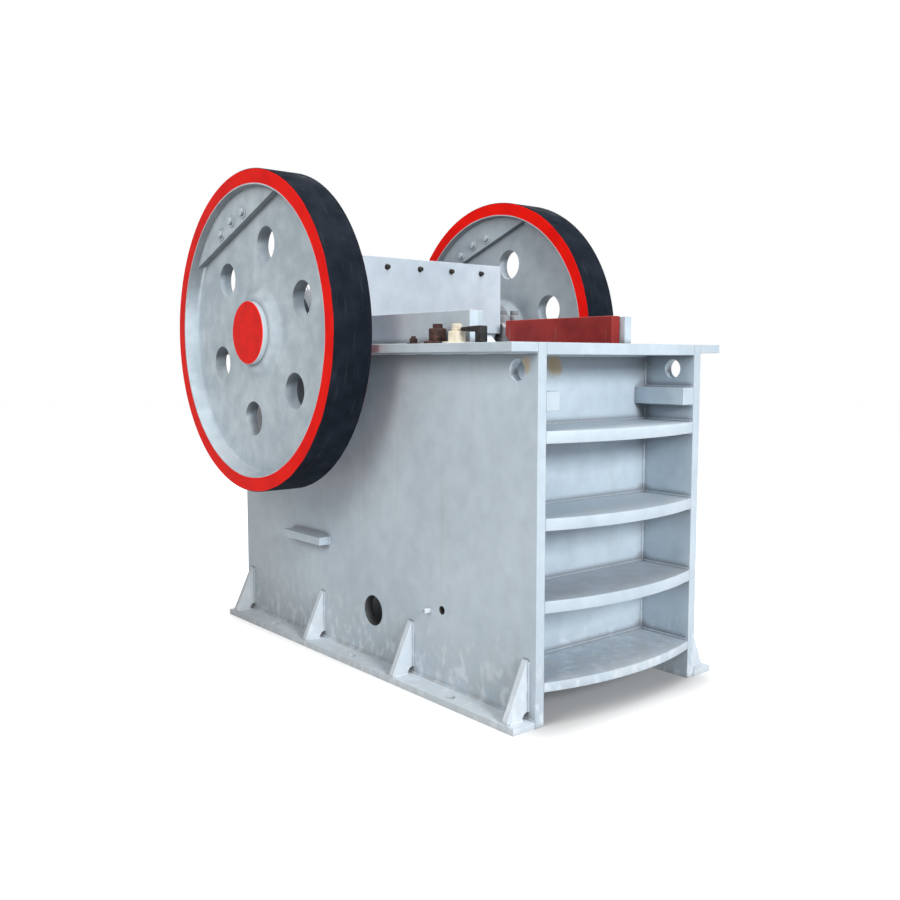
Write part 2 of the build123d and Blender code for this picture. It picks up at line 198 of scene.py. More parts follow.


# what dust, rain and handling do to a painted surface, with painted shade in corners, under overhangs and on
# the rib tops: colour, roughness and height come back
def weatherAndShade(finish, colour, look):
    up = finish.up()
    level = finish.level()
    broad = finish.noise(1.4, 3.0)
    mottle = finish.noise(13, 5.0, shift=(3, 1, 7))
    patchy = mottle - 0.5
    tone = (broad - 0.5) * look["broad"] + patchy * look["mottle"]
    colour = finish.blend(finish.ease(tone, -0.5, 0.5), look["dark"], colour)
    runs = finish.ease(finish.noise(5, 4.0, stretch=(3, 3, 0.18)), 0.56, 0.74)
    colour = finish.blend(runs * look["runs"], colour, look["soil"])
    dust = finish.ease(up, 0.45, 0.95) * finish.ease(mottle + broad, 0.75, 1.25)
    colour = finish.blend(dust * look["dust"], colour, look["dustColour"])
    # splashed up from the ground: soil, and pale dried slurry
    low = finish.fade(level + patchy * 0.35, *dirtAndShadeHeights["splash"])
    colour = finish.blend(low * finish.ease(mottle, 0.38, 0.62) * look["splash"], colour, look["soil"])
    slurry = finish.ease(finish.noise(24, 4.0, stretch=(1, 1, 0.6), shift=(5, 8, 2)), 0.48, 0.66)
    colour = finish.blend(low * slurry * look["pale"], colour, look["paleColour"])
    # painted shade on the rib tops, the upward faces below the top flange, darkest near the middle rib
    ribTopShade = finish.ease(up, 0.6, 0.95) * finish.fade(level, *dirtAndShadeHeights["ribTopShade"])
    ribTopShade = ribTopShade * finish.ease(mottle, 0.2, 0.7, 0.6, 1.0)
    offMiddle = finish.absolute(level - dirtAndShadeHeights["ribShadeDarkestAt"])
    ribTopShade = ribTopShade * finish.ease(offMiddle, 0.12, 0.34, 1.0, 0.2)
    colour = finish.blend(ribTopShade * look["ribTopShade"], colour, look["ribTopShadeColour"])
    # painted shade: corners are darkened by ambient occlusion, partly grime
    cornerShade = finish.ease(finish.corners(shadeAndWearReach["cornerShade"]) + patchy * 0.25, 0.28, 0.66)
    colour = finish.blend(cornerShade * look["cornerShade"], colour, look["paintedShadeColour"])
    steep = finish.ease(up, -0.3, 0.2) * finish.fade(up, 0.3, 0.7)
    # painted shadow on walls under overhangs such as the top flange and the ribs
    overhangShade = finish.ease(finish.shelter(shadeAndWearReach["overhangShade"]) + patchy * 0.15, 0.42, 0.80) * steep
    colour = finish.blend(overhangShade * look["overhangShade"], colour, look["paintedShadeColour"])
    # a narrower, darker painted shadow just under the ribs, the bars and the flange
    line = finish.ease(finish.shelter(shadeAndWearReach["line"]) + patchy * 0.12, 0.52, 0.74) * steep
    colour = finish.blend(line * look["line"], colour, look["paintedShadeColour"])
    # painted shade on walls just above a ledge, where the rib tops meet the wall
    upright = finish.ease(up, -0.4, -0.1) * finish.fade(up, 0.6, 0.9)
    wallFootShade = finish.ease(finish.shelter(shadeAndWearReach["wallFootShade"], -0.9) + patchy * 0.12, 0.48, 0.68)
    wallFootShade = wallFootShade * upright * finish.ease(level, *dirtAndShadeHeights["wallFootShade"])
    colour = finish.blend(wallFootShade * look["wallFootShade"], colour, look["wallFootShadeColour"])
    # paint knocked off the edges, and small spots of rust
    chips = finish.wear(shadeAndWearReach["chips"], finish.noise(38, 4.0), 0.17, 0.26)
    colour = finish.blend(chips * look["chips"], colour, look["bare"])
    spots = finish.ease(finish.noise(60, 3.0, shift=(9, 2, 4)), 0.70, 0.76) * finish.ease(broad, 0.48, 0.62)
    colour = finish.blend(spots * look["spots"], colour, look["bare"])
    rough = look["rough"] + patchy * 0.22 + dust * 0.3 + low * 0.12
    grain = finish.noise(look["grainScale"], 2.0)
    height = grain * look["grain"] + mottle * 0.25 + broad * look["wave"]
    return colour, rough, height - chips * 0.25


paintLook = {
    "dark": (0.46, 0.55, 0.63, 1), "broad": 1.3, "mottle": 0.9,
    "soil": (0.33, 0.31, 0.28, 1), "runs": 0.10, "splash": 0.30,
    "dustColour": (0.60, 0.60, 0.58, 1), "dust": 0.30,
    "paleColour": (0.80, 0.86, 0.92, 1), "pale": 0.62,
    "ribTopShadeColour": (0.27, 0.28, 0.31, 1), "ribTopShade": 0.52,
    "paintedShadeColour": (0.15, 0.15, 0.155, 1), "cornerShade": 0.55, "overhangShade": 0.85, "line": 0.6,
    "wallFootShadeColour": (0.20, 0.22, 0.255, 1), "wallFootShade": 0.8,
    "bare": (0.23, 0.13, 0.09, 1), "chips": 0.45, "spots": 0.30,
    "rough": 0.42, "grain": 0.12, "grainScale": 420, "wave": 0.6}

# painted shade round the wheels: a wide faint film, and a darker patch close to the shaft
wheelShadeLook = {"wideShadeColour": (0.16, 0.155, 0.15, 1), "wideShadeAmount": 0.22, "wideShadeRadius": (0.70, 1.05),
              "thick": (0.045, 0.042, 0.040, 1), "deepShadeAmount": 0.62, "deepShadeRadius": (0.28, 0.52)}


# painted shade: a dark film round the shaft line, outside the side plates, for the shade behind and under the
# wheels
def wheelShade(finish, colour):
    outside = finish.ease(finish.aside(), 0.44, 0.49)
    distance = finish.fromShaft()
    wide = finish.fade(distance + (finish.noise(3, 3.0) - 0.5) * 0.3, *wheelShadeLook["wideShadeRadius"])
    colour = finish.blend(wide * outside * wheelShadeLook["wideShadeAmount"], colour, wheelShadeLook["wideShadeColour"])
    near = finish.fade(distance + (finish.noise(6, 4.0) - 0.5) * 0.16, *wheelShadeLook["deepShadeRadius"])
    return finish.blend(near * outside * wheelShadeLook["deepShadeAmount"], colour, wheelShadeLook["thick"])


# old rust below the top flange; near-black walls in the flame-cut holes, painted shade that also stands for
# scale on the cut; a painted highlight on the feet; and painted shade towards the rear
stains = [
    {"middle": (-0.135, wallFrontY, topZ - 0.090), "reach": 0.060, "colour": (0.44, 0.31, 0.14, 1)},
    {"middle": (-outerX, frontY + 0.070, topZ - 0.088), "reach": 0.040, "colour": (0.42, 0.32, 0.18, 1)}]
cutHoles = [{"middle": (0, frontY + 1.080, 0.248), "radius": 0.070},
            {"middle": (0, frontY + 0.571, 0.351), "radius": 0.017}]
holeShade = {"colour": (0.035, 0.03, 0.028, 1), "amount": 0.9}
feetHighlight = {"colour": (0.82, 0.89, 0.95, 1), "gussets": 0.40, "feet": 0.55, "heights": (0.30, 0.36)}
rearShade = {"colour": (0.17, 0.16, 0.15, 1), "amount": 0.30, "span": (0.35, 1.05)}


def framePaint():
    finish = Finish("framePaint")
    colour, rough, height = weatherAndShade(finish, (0.61, 0.71, 0.79, 1), paintLook)
    for stain in stains:
        away = finish.vector("DISTANCE", finish.place, stain["middle"], "Value")
        ragged = away + (finish.noise(22, 4.0) - 0.5) * 0.05
        spread = finish.fade(ragged, stain["reach"] * 0.4, stain["reach"])
        colour = finish.blend(spread * 0.75, colour, stain["colour"])
    # painted shade: the walls of the flame-cut holes are made near-black, partly scale on the cut
    for hole in cutHoles:
        span = finish.fromLine(hole["middle"])
        holeDark = finish.fade(span, hole["radius"] + 0.0005, hole["radius"] + 0.003)
        colour = finish.blend(holeDark * holeShade["amount"], colour, holeShade["colour"])
    colour = wheelShade(finish, colour)
    # painted highlight: the feet and gussets outside the side plates are made paler, more on their upward
    # faces
    feetHighlightMask = finish.ease(finish.aside(), outerX + 0.006, outerX + 0.012)
    feetHighlightMask = feetHighlightMask * finish.fade(finish.level(), *feetHighlight["heights"])
    feetHighlightMask = feetHighlightMask * finish.ease(finish.up(), 0.5, 0.9, feetHighlight["gussets"], feetHighlight["feet"])
    colour = finish.blend(feetHighlightMask, colour, feetHighlight["colour"])
    # painted shade: the frame paint darkens towards the rear, behind and under the wheels
    backward = finish.axis(finish.place, "Y") + (finish.noise(4, 4.0) - 0.5) * 0.3
    rearShadeMask = finish.ease(backward, *rearShade["span"])
    colour = finish.blend(rearShadeMask * rearShade["amount"], colour, rearShade["colour"])
    finish.feed(Base_Color=colour, Roughness=rough, Normal=finish.bump(height, 0.35, 0.004))
    return finish.material


def castingPaint():
    finish = Finish("castingPaint")
    look = dict(paintLook, dark=(0.62, 0.70, 0.77, 1), grain=0.9, grainScale=95, wave=0.3, rough=0.48,
                ribTopShade=0.0, wallFootShade=0.2)
    colour, rough, height = weatherAndShade(finish, (0.80, 0.87, 0.94, 1), look)
    colour = wheelShade(finish, colour)
    finish.feed(Base_Color=colour, Roughness=rough, Normal=finish.bump(height, 0.4, 0.004))
    return finish.material


wheelLook = {
    "web": (0.66, 0.76, 0.83, 1), "ringRadius": (0.6825, 0.6845), "rimRadius": (0.7462, 0.7474),
    "innerShadeColour": (0.27, 0.31, 0.34, 1), "innerShadeAmount": 0.45, "innerEnd": (0.735, 0.755),
    "under": (0.085, 0.088, 0.095, 1), "underAmount": 0.75,
    "red": (0.92, 0.012, 0.006, 1), "oldRed": (0.80, 0.008, 0.006, 1), "bareRing": (0.16, 0.12, 0.11, 1),
    "black": (0.007, 0.010, 0.016, 1), "oldBlack": (0.014, 0.019, 0.029, 1), "bareRim": (0.16, 0.15, 0.15, 1),
    "scuff": (0.07, 0.075, 0.085, 1), "scuffAmount": 0.22, "wornAmount": 0.35}


# grey web, red ring on the rim's faces and a near-black rim, brushed on by hand up to each edge
def flywheelPaint():
    finish = Finish("flywheelPaint")
    look = dict(paintLook, grain=0.7, grainScale=110, runs=0.14, mottle=1.4, dust=0.35, splash=0.0,
                wallFootShade=0.0)
    colour, rough, height = weatherAndShade(finish, wheelLook["web"], look)
    # painted shade: the wheels' inner faces, towards the frame, are darker
    innerShade = finish.fade(finish.aside(), *wheelLook["innerEnd"])
    colour = finish.blend(innerShade * wheelLook["innerShadeAmount"], colour, wheelLook["innerShadeColour"])
    # painted shade: faces that look down, such as the upper walls of the holes, the segment's edge and the
    # inside of the rim, are near-black
    under = finish.fade(finish.up(), -0.55, -0.05) * finish.fade(finish.sideways(), 0.55, 0.8)
    colour = finish.blend(under * wheelLook["underAmount"], colour, wheelLook["under"])
    red = finish.blend(finish.ease(finish.noise(7, 4.0), 0.35, 0.7), wheelLook["red"], wheelLook["oldRed"])
    aged = finish.ease(finish.noise(11, 5.0), 0.3, 0.75)
    black = finish.blend(aged, wheelLook["black"], wheelLook["oldBlack"])
    scuff = finish.ease(finish.noise(6, 5.0, stretch=(9, 1, 1)), 0.58, 0.75)
    black = finish.blend(scuff * wheelLook["scuffAmount"], black, wheelLook["scuff"])
    worn = finish.wear(0.006, finish.noise(30, 4.0), 0.14, 0.24) * wheelLook["wornAmount"]
    distance = finish.fromShaft() + (finish.noise(9, 3.0) - 0.5) * 0.004
    onRing = finish.ease(distance, *wheelLook["ringRadius"])
    onRim = finish.ease(distance, *wheelLook["rimRadius"])
    colour = finish.blend(onRing, colour, finish.blend(worn, red, wheelLook["bareRing"]))
    colour = finish.blend(onRim, colour, finish.blend(worn, black, wheelLook["bareRim"]))
    rough = rough - onRing * 0.06 + onRim * 0.35
    turned = finish.add("ShaderNodeTexWave", {"wave_type": "BANDS", "bands_direction": "X"},
                        {"Vector": finish.place, "Scale": 60, "Distortion": 1.5, "Detail": 2}, "Fac")
    height = height * (1 - onRing * 0.6) + turned * onRim * 0.10
    finish.feed(Specular_IOR_Level=0.04, Base_Color=colour, Roughness=rough,
                Normal=finish.bump(height, 0.4, 0.004))
    return finish.material


def capRed():
    finish = Finish("capRed")
    patch = finish.noise(16, 5.0)
    colour = finish.blend(finish.ease(patch, 0.35, 0.7), (0.90, 0.012, 0.006, 1), (0.76, 0.009, 0.006, 1))
    dust = finish.ease(finish.noise(28, 5.0, shift=(4, 4, 4)), 0.52, 0.78)
    colour = finish.blend(dust * 0.05, colour, (0.62, 0.40, 0.36, 1))
    colour = finish.blend(finish.wear(0.005, patch, 0.14, 0.25) * 0.4, colour, (0.20, 0.10, 0.09, 1))
    colour = finish.blend(finish.fade(finish.sideways(), 0.45, 0.75), colour, (0.58, 0.67, 0.73, 1))
    rings = finish.add("ShaderNodeMath", {"operation": "SINE"}, {0: finish.fromShaft() * 900})
    finish.feed(Specular_IOR_Level=0.08, Base_Color=colour, Roughness=0.42 + dust * 0.3, Coat_Weight=0.02,
                Normal=finish.bump(rings * 0.15 + patch, 0.18, 0.003))
    return finish.material


# dark red oxide, scraped through where rock slides down; the left liner is pale blue-grey on its front-facing
# faces
def linerRed():
    finish = Finish("linerRed")
    patch = finish.noise(9, 5.0)
    colour = finish.blend(finish.ease(patch, 0.3, 0.7), (0.36, 0.034, 0.030, 1), (0.25, 0.022, 0.022, 1))
    scrape = finish.ease(finish.noise(10, 5.0, stretch=(4, 4, 0.35)), 0.60, 0.72)
    colour = finish.blend(scrape * 0.45, colour, (0.20, 0.16, 0.15, 1))
    dust = finish.ease(finish.up(), 0.4, 0.95) * finish.ease(patch, 0.35, 0.65)
    colour = finish.blend(dust * 0.35, colour, (0.46, 0.36, 0.33, 1))
    worn = finish.wear(0.008, finish.noise(34, 4.0), 0.15, 0.25)
    colour = finish.blend(worn * 0.5, colour, (0.22, 0.15, 0.13, 1))
    front = finish.fade(finish.axis(finish.facing, "Y"), -0.8, -0.6)
    left = finish.fade(finish.axis(finish.place, "X"), -0.1, 0.0)
    colour = finish.blend(front * left, colour, (0.52, 0.60, 0.66, 1))
    finish.feed(Base_Color=colour, Roughness=0.50 + patch * 0.2 - scrape * 0.1,
                Normal=finish.bump(finish.noise(85, 4.0) + patch * 0.5 - scrape * 0.4, 0.45, 0.004))
    return finish.material


# cast manganese steel: brown-grey skin, rubbed bright on the crests of the teeth
def manganese():
    finish = Finish("manganese")
    patch = finish.noise(12, 5.0)
    colour = finish.blend(finish.ease(patch, 0.3, 0.7), (0.13, 0.115, 0.105, 1), (0.21, 0.19, 0.175, 1))
    rust = finish.ease(finish.noise(6, 5.0, shift=(2, 5, 1)), 0.52, 0.68)
    colour = finish.blend(rust * 0.5, colour, (0.20, 0.085, 0.04, 1))
    crest = finish.ease(finish.edges(0.012) + (patch - 0.5) * 0.35, 0.10, 0.28)
    colour = finish.blend(crest * 0.75, colour, (0.36, 0.35, 0.34, 1))
    finish.feed(Base_Color=colour, Roughness=0.62 - crest * 0.22 + rust * 0.15, Metallic=0.35 + crest * 0.5,
                Normal=finish.bump(finish.noise(75, 4.0) + patch * 0.6, 0.55, 0.005))
    return finish.material


def bareSteel():
    finish = Finish("bareSteel")
    lathe = finish.noise(160, 3.0, stretch=(6, 0.6, 0.6))
    oil = finish.ease(finish.noise(7, 4.0), 0.42, 0.66)
    colour = finish.blend(oil * 0.6, (0.40, 0.40, 0.41, 1), (0.17, 0.155, 0.14, 1))
    bloom = finish.ease(finish.noise(32, 5.0), 0.60, 0.72)
    colour = finish.blend(bloom * 0.4, colour, (0.24, 0.11, 0.06, 1))
    finish.feed(Base_Color=colour, Roughness=0.28 + lathe * 0.15 + bloom * 0.3, Metallic=0.9 - bloom * 0.5,
                Normal=finish.bump(lathe, 0.15, 0.002))
    return finish.material


def rustySteel():
    finish = Finish("rustySteel")
    patch = finish.noise(34, 6.0)
    colour = finish.blend(finish.ease(patch, 0.3, 0.7), (0.030, 0.020, 0.020, 1), (0.090, 0.045, 0.040, 1))
    scale = finish.ease(finish.noise(90, 4.0), 0.5, 0.7)
    colour = finish.blend(scale * 0.4, colour, (0.20, 0.10, 0.07, 1))
    finish.feed(Base_Color=colour, Roughness=0.78 + scale * 0.12, Metallic=0.15,
                Normal=finish.bump(patch + finish.noise(180, 3.0) * 0.5, 0.7, 0.002))
    return finish.material


def creamPaint():
    finish = Finish("creamPaint")
    patch = finish.noise(30, 4.0)
    colour = finish.blend(finish.ease(patch, 0.3, 0.7), (0.80, 0.76, 0.66, 1), (0.66, 0.60, 0.48, 1))
    wear = finish.wear(0.004, patch, 0.14, 0.24)
    colour = finish.blend(wear * 0.5, colour, (0.22, 0.14, 0.10, 1))
    finish.feed(Base_Color=colour, Roughness=0.5 + patch * 0.15, Normal=finish.bump(patch, 0.2, 0.001))
    return finish.material


def blackIron():
    finish = Finish("blackIron")
    patch = finish.noise(40, 5.0)
    colour = finish.blend(finish.ease(patch, 0.3, 0.7), (0.018, 0.018, 0.020, 1), (0.045, 0.042, 0.040, 1))
    wear = finish.wear(0.003, patch, 0.14, 0.24)
    colour = finish.blend(wear * 0.6, colour, (0.16, 0.14, 0.12, 1))
    finish.feed(Base_Color=colour, Roughness=0.45 + patch * 0.2, Metallic=0.55 + wear * 0.3,
                Normal=finish.bump(patch, 0.3, 0.001))
    return finish.material


finishes = {
    "frame_paint": framePaint(), "casting_paint": castingPaint(), "flywheel_paint": flywheelPaint(),
    "cap_red": capRed(), "liner_red": linerRed(), "manganese": manganese(), "bare_steel": bareSteel()}
rusty = rustySteel()
cream = creamPaint()
black = blackIron()
print("finishes made:", len(finishes) + 3)

# the solids keep their shape: their finish, and live bevels that soften their flame-cut and cast edges
softness = {"frame_paint": 0.0025, "casting_paint": 0.006, "flywheel_paint": 0.003, "cap_red": 0.002,
            "liner_red": 0.004, "manganese": 0.005, "bare_steel": 0.0015}
plainNodes = ("tension_spring",)
dressing = {"mergeWithin": 0.00005, "flatWithin": 0.3, "sharpOver": 32, "segments": 2}
for subpart in frame["record"]["subparts"]:
    solid = nodes[subpart["node"]]
    solid.data.materials.clear()
    solid.data.materials.append(finishes[subpart["material_slot"]])
    if subpart["node"] in plainNodes:
        continue
    joinCorners = solid.modifiers.new("joinCorners", "WELD")
    joinCorners.merge_threshold = dressing["mergeWithin"]
    flatFaces = solid.modifiers.new("flatFaces", "DECIMATE")
    flatFaces.decimate_type = "DISSOLVE"
    flatFaces.angle_limit = radians(dressing["flatWithin"])
    softEdges = solid.modifiers.new("softEdges", "BEVEL")
    softEdges.width = softness[subpart["material_slot"]]
    softEdges.segments = dressing["segments"]
    softEdges.limit_method = "ANGLE"
    softEdges.angle_limit = radians(dressing["sharpOver"])
    softEdges.harden_normals = True
print("solids dressed")


# small tools for modelling by hand
def letGo():
    if bpy.context.object and bpy.context.object.mode != "OBJECT":
        bpy.ops.object.mode_set(mode="OBJECT")
    bpy.ops.object.select_all(action="DESELECT")


def pick(piece, kind, test):
    bpy.ops.object.mode_set(mode="OBJECT")
    mesh = piece.data
    for group in (mesh.vertices, mesh.edges, mesh.polygons):
        group.foreach_set("select", [False] * len(group))
    if kind == "FACE":
        for face in mesh.polygons:
            face.select = test(face.center, face.normal)
    elif kind == "EDGE":
        for edge in mesh.edges:
            ends = [mesh.vertices[number].co for number in edge.vertices]
            edge.select = test((ends[0] + ends[1]) / 2, (ends[1] - ends[0]).normalized())
    else:
        for vertex in mesh.vertices:
            vertex.select = test(vertex.co, vertex.normal)
    bpy.context.tool_settings.mesh_select_mode = (kind == "VERT", kind == "EDGE", kind == "FACE")
    bpy.ops.object.mode_set(mode="EDIT")


def named(name):
    if bpy.context.object.mode != "OBJECT":
        bpy.ops.object.mode_set(mode="OBJECT")
    piece = bpy.context.object
    piece.name = name
    piece.data.name = name
    return piece


def joined(pieces, name):
    letGo()
    for piece in pieces:
        piece.select_set(True)
    bpy.context.view_layer.objects.active = pieces[0]
    bpy.ops.object.join()
    return named(name)


def copied(pattern, place, turn=(0, 0, 0)):
    letGo()
    pattern.select_set(True)
    bpy.context.view_layer.objects.active = pattern
    bpy.ops.object.duplicate(linked=False)
    piece = bpy.context.object
    piece.rotation_euler = turn
    piece.location = place
    bpy.ops.object.transform_apply(location=True, rotation=True, scale=True)
    return piece


def finished(piece, body, material, angle=35):
    letGo()
    piece.select_set(True)
    bpy.context.view_layer.objects.active = piece
    bpy.ops.object.shade_smooth_by_angle(angle=radians(angle))
    piece.data.materials.clear()
    piece.data.materials.append(material)
    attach(piece, body)
    return piece


threadPitch = 0.004  # of every threaded end that shows


# a hex head on a washer, standing on z = 0; a threaded end shows above a nut
def hexBolt(size):
    letGo()
    across = size["across"]
    thick = size["thick"]
    washer = size["washer"]
    bpy.ops.mesh.primitive_cylinder_add(vertices=6, radius=across / 1.732, depth=thick,
                                        location=(0, 0, washer + thick / 2))
    head = named("boltHead")
    bpy.ops.object.transform_apply()
    pick(head, "EDGE", lambda middle, way: middle.z > washer + thick * 0.9)
    bpy.ops.mesh.bevel(offset=across * 0.07, segments=2, affect="EDGES")
    pick(head, "EDGE", lambda middle, way: abs(way.z) > 0.9)
    bpy.ops.mesh.bevel(offset=across * 0.025, segments=1, affect="EDGES")
    head = named("boltHead")
    letGo()
    bpy.ops.mesh.primitive_cylinder_add(vertices=28, radius=across * size.get("spread", 0.86), depth=washer,
                                        location=(0, 0, washer / 2))
    ring = named("boltWasher")
    bpy.ops.object.transform_apply()
    pick(ring, "EDGE", lambda middle, way: middle.z > washer * 0.9)
    bpy.ops.mesh.bevel(offset=washer * 0.3, segments=2, affect="EDGES")
    pieces = [head, named("boltWasher")]
    if "end" in size:
        letGo()
        base = washer + thick
        bpy.ops.mesh.primitive_cylinder_add(vertices=20, radius=across * 0.33, depth=size["end"],
                                            location=(0, 0, base + size["end"] / 2))
        tip = named("boltEnd")
        bpy.ops.object.transform_apply()
        threads = max(3, int(size["end"] / threadPitch))
        pick(tip, "EDGE", lambda middle, way: abs(way.z) > 0.9)
        bpy.ops.mesh.subdivide(number_cuts=threads)
        step = size["end"] / (threads + 1)
        pick(tip, "VERT", lambda spot, way: round((spot.z - base) / step) % 2 == 1)
        bpy.ops.transform.resize(value=(0.90, 0.90, 1), center_override=(0, 0, 0))
        pieces.append(named("boltEnd"))
    return joined(pieces, "hexBolt")


# one fitting that stands alone on the frame
def fitting(name, size, spot, turn, material):
    pattern = hexBolt(size)
    finished(copied(pattern, spot, turn), "frame", material).name = name
    bpy.data.objects.remove(pattern)


# a run of weld with its ripples, made along z and then laid in its corner
beadPatterns = {}


def weldBead(start, end, thick):
    start = Vector(start)
    end = Vector(end)
    length = (end - start).length
    key = (round(length, 3), thick)
    if key not in beadPatterns:
        letGo()
        ripples = max(4, int(length / (thick * 1.3)))
        bpy.ops.mesh.primitive_cylinder_add(vertices=8, radius=thick, depth=length,
                                            location=(0, 0, length / 2))
        bead = named("weldBead")
        bpy.ops.object.transform_apply()
        pick(bead, "EDGE", lambda middle, way: abs(way.z) > 0.9)
        bpy.ops.mesh.subdivide(number_cuts=ripples)
        step = length / (ripples + 1)
        pick(bead, "VERT", lambda spot, way: round(spot.z / step) % 2 == 0)
        bpy.ops.transform.resize(value=(0.80, 0.80, 1), center_override=(0, 0, 0))
        beadPatterns[key] = named("weldBead")
    turn = (end - start).to_track_quat("Z", "Y").to_euler()
    return copied(beadPatterns[key], start, turn)


def weldSeams(name, seams):
    beads = [weldBead(start, end, welding[kind]) for kind, start, end in seams]
    finished(joined(beads, name), "frame", finishes["frame_paint"], 60)


# bead sizes, how far a bead stops short of a plate's end, and how it keeps off the gussets' corners
welding = {"ribs": 0.009, "plates": 0.008, "gussets": 0.007, "short": 0.004,
           "cope": 0.030, "gussetTop": 0.006, "gussetFoot": 0.100}
ribs = {"lowThick": 0.038, "thick": 0.048, "pitch": 0.320}
frontEnd = frontY + welding["short"]
rearEnd = rearY - welding["short"]

# front bays: ribs to wall and side plates, wall to side plates
ribsLow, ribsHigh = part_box("front_ribs")
lowRib = ribsLow.z + ribs["lowThick"]
ribTops = [(lowRib, ribs["lowThick"]), (lowRib + ribs["pitch"], ribs["thick"]),
           (lowRib + ribs["pitch"] * 2, ribs["thick"]), (ribsHigh.z, ribs["thick"])]
barLow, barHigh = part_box("lifting_bar_right")
seams = []
for ribTop, ribThick in ribTops:
    for level in (ribTop, ribTop - ribThick):
        seams.append(("ribs", (-innerX, wallFrontY, level), (innerX, wallFrontY, level)))
        for side in (-1, 1):
            plateX = side * innerX
            seams.append(("ribs", (plateX, frontEnd, level), (plateX, wallFrontY, level)))
for side in (-1, 1):
    plateX = side * innerX
    seams.append(("plates", (plateX, wallFrontY, wallLow.z), (plateX, wallFrontY, frontFlangeLow.z)))
    for level in (barLow.z, barHigh.z):
        seams.append(("plates", (plateX, frontEnd, level), (plateX, wallFrontY, level)))
seams.append(("plates", (-innerX, wallFrontY, frontFlangeLow.z), (innerX, wallFrontY, frontFlangeLow.z)))
weldSeams("frontWelds", seams)

# rear bay; its lowest rib is in two halves, so it has no seam right across
tieLow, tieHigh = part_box("rear_top_tie")
rearWallY = rearWallHigh.y
seams = []
for ribTop, ribThick in ribTops:
    for level in (ribTop, ribTop - ribThick):
        if ribTop > lowRib:
            seams.append(("ribs", (-innerX, rearWallY, level), (innerX, rearWallY, level)))
        for side in (-1, 1):
            plateX = side * innerX
            seams.append(("ribs", (plateX, rearWallY, level), (plateX, rearEnd, level)))
for side in (-1, 1):
    plateX = side * innerX
    seams.append(("plates", (plateX, rearWallY, rearWallLow.z), (plateX, rearWallY, rearWallHigh.z)))
    tieEnd = tieHigh.y - welding["short"]
    seams.append(("plates", (plateX, tieLow.y, tieLow.z), (plateX, tieEnd, tieLow.z)))
weldSeams("rearWelds", seams)

# outside of each side plate: flange, foot, guard, guide lug and gussets
gussets = {"count": 4, "thick": 0.030}
gussetLow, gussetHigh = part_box("foot_gussets_right")
gussetPitch = (gussetHigh.y - gussetLow.y - gussets["thick"]) / (gussets["count"] - 1)
guideLow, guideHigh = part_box("toggle_guide_right")
guardLow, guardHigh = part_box("side_guard_right")
for side, sideName in sides:
    wallX = side * outerX
    seams = [("plates", (wallX, frontEnd, flangeLow.z), (wallX, rearEnd, flangeLow.z)),
             ("plates", (wallX, frontEnd, footHigh.z), (wallX, rearEnd, footHigh.z)),
             ("plates", (wallX, guardLow.y + welding["short"], topZ),
              (wallX, guardHigh.y - welding["short"], topZ))]
    for level in (guideLow.z, guideHigh.z):
        seams.append(("gussets", (wallX, guideLow.y, level), (wallX, guideHigh.y, level)))
    for edge in (guideLow.y, guideHigh.y):
        seams.append(("gussets", (wallX, edge, guideLow.z), (wallX, edge, guideHigh.z)))
    copeX = wallX + side * welding["cope"]
    footX = wallX + side * welding["gussetFoot"]
    for number in range(gussets["count"]):
        near = gussetLow.y + number * gussetPitch
        for edge in (near, near + gussets["thick"]):
            seams.append(("gussets", (wallX, edge, footHigh.z + welding["cope"]),
                          (wallX, edge, gussetHigh.z - welding["gussetTop"])))
            seams.append(("gussets", (copeX, edge, footHigh.z), (footX, edge, footHigh.z)))
    weldSeams("sideWelds" + sideName, seams)
for pattern in beadPatterns.values():
    bpy.data.objects.remove(pattern)
print("welds laid")

# dark bolts along the top of the jaw head's cover
coverBolts = {"across": 0.020, "thick": 0.013, "washer": 0.004, "spread": 0.66,
              "places": (-0.297, -0.099, 0.099, 0.297), "drop": 0.046, "turn": 12}
pattern = hexBolt(coverBolts)
bolts = []
for place in coverBolts["places"]:
    spot = (place, coverLow.y, coverHigh.z - coverBolts["drop"])
    bolts.append(copied(pattern, spot, (radians(90), radians(coverBolts["turn"]), 0)))
finished(joined(bolts, "coverBolts"), "swing_jaw", black)
bpy.data.objects.remove(pattern)

# bearing cap studs with their nuts, and the screws of the bearing end covers
capNuts = {"across": 0.070, "thick": 0.042, "washer": 0.008, "end": 0.026, "inset": 0.062,
           "rows": (0.505, 0.590), "rise": 0.062, "turn": 17}
coverScrews = {"across": 0.024, "thick": 0.010, "washer": 0.003, "circle": 0.190, "count": 8, "face": 0.640}
nutPattern = hexBolt(capNuts)
screwPattern = hexBolt(coverScrews)
earTopZ = shaftZ + capNuts["rise"]
for side, sideName in sides:
    bolts = []
    for row in capNuts["rows"]:
        turn = radians(capNuts["turn"]) + row * 9  # each row was tightened to another angle
        for edge in (capLow.y + capNuts["inset"], capHigh.y - capNuts["inset"]):
            bolts.append(copied(nutPattern, (side * row, edge, earTopZ), (0, 0, turn)))
    finished(joined(bolts, "capNuts" + sideName), "frame", finishes["casting_paint"])
    bolts = []
    for number in range(coverScrews["count"]):
        turn = radians((number + 0.5) * 360 / coverScrews["count"])
        spot = (side * coverScrews["face"], shaftY + coverScrews["circle"] * cos(turn),
                shaftZ + coverScrews["circle"] * sin(turn))
        bolts.append(copied(screwPattern, spot, (0, side * radians(90), 0)))
    finished(joined(bolts, "coverScrews" + sideName), "frame", finishes["casting_paint"])
bpy.data.objects.remove(nutPattern)
bpy.data.objects.remove(screwPattern)
print("bearing bolts placed")

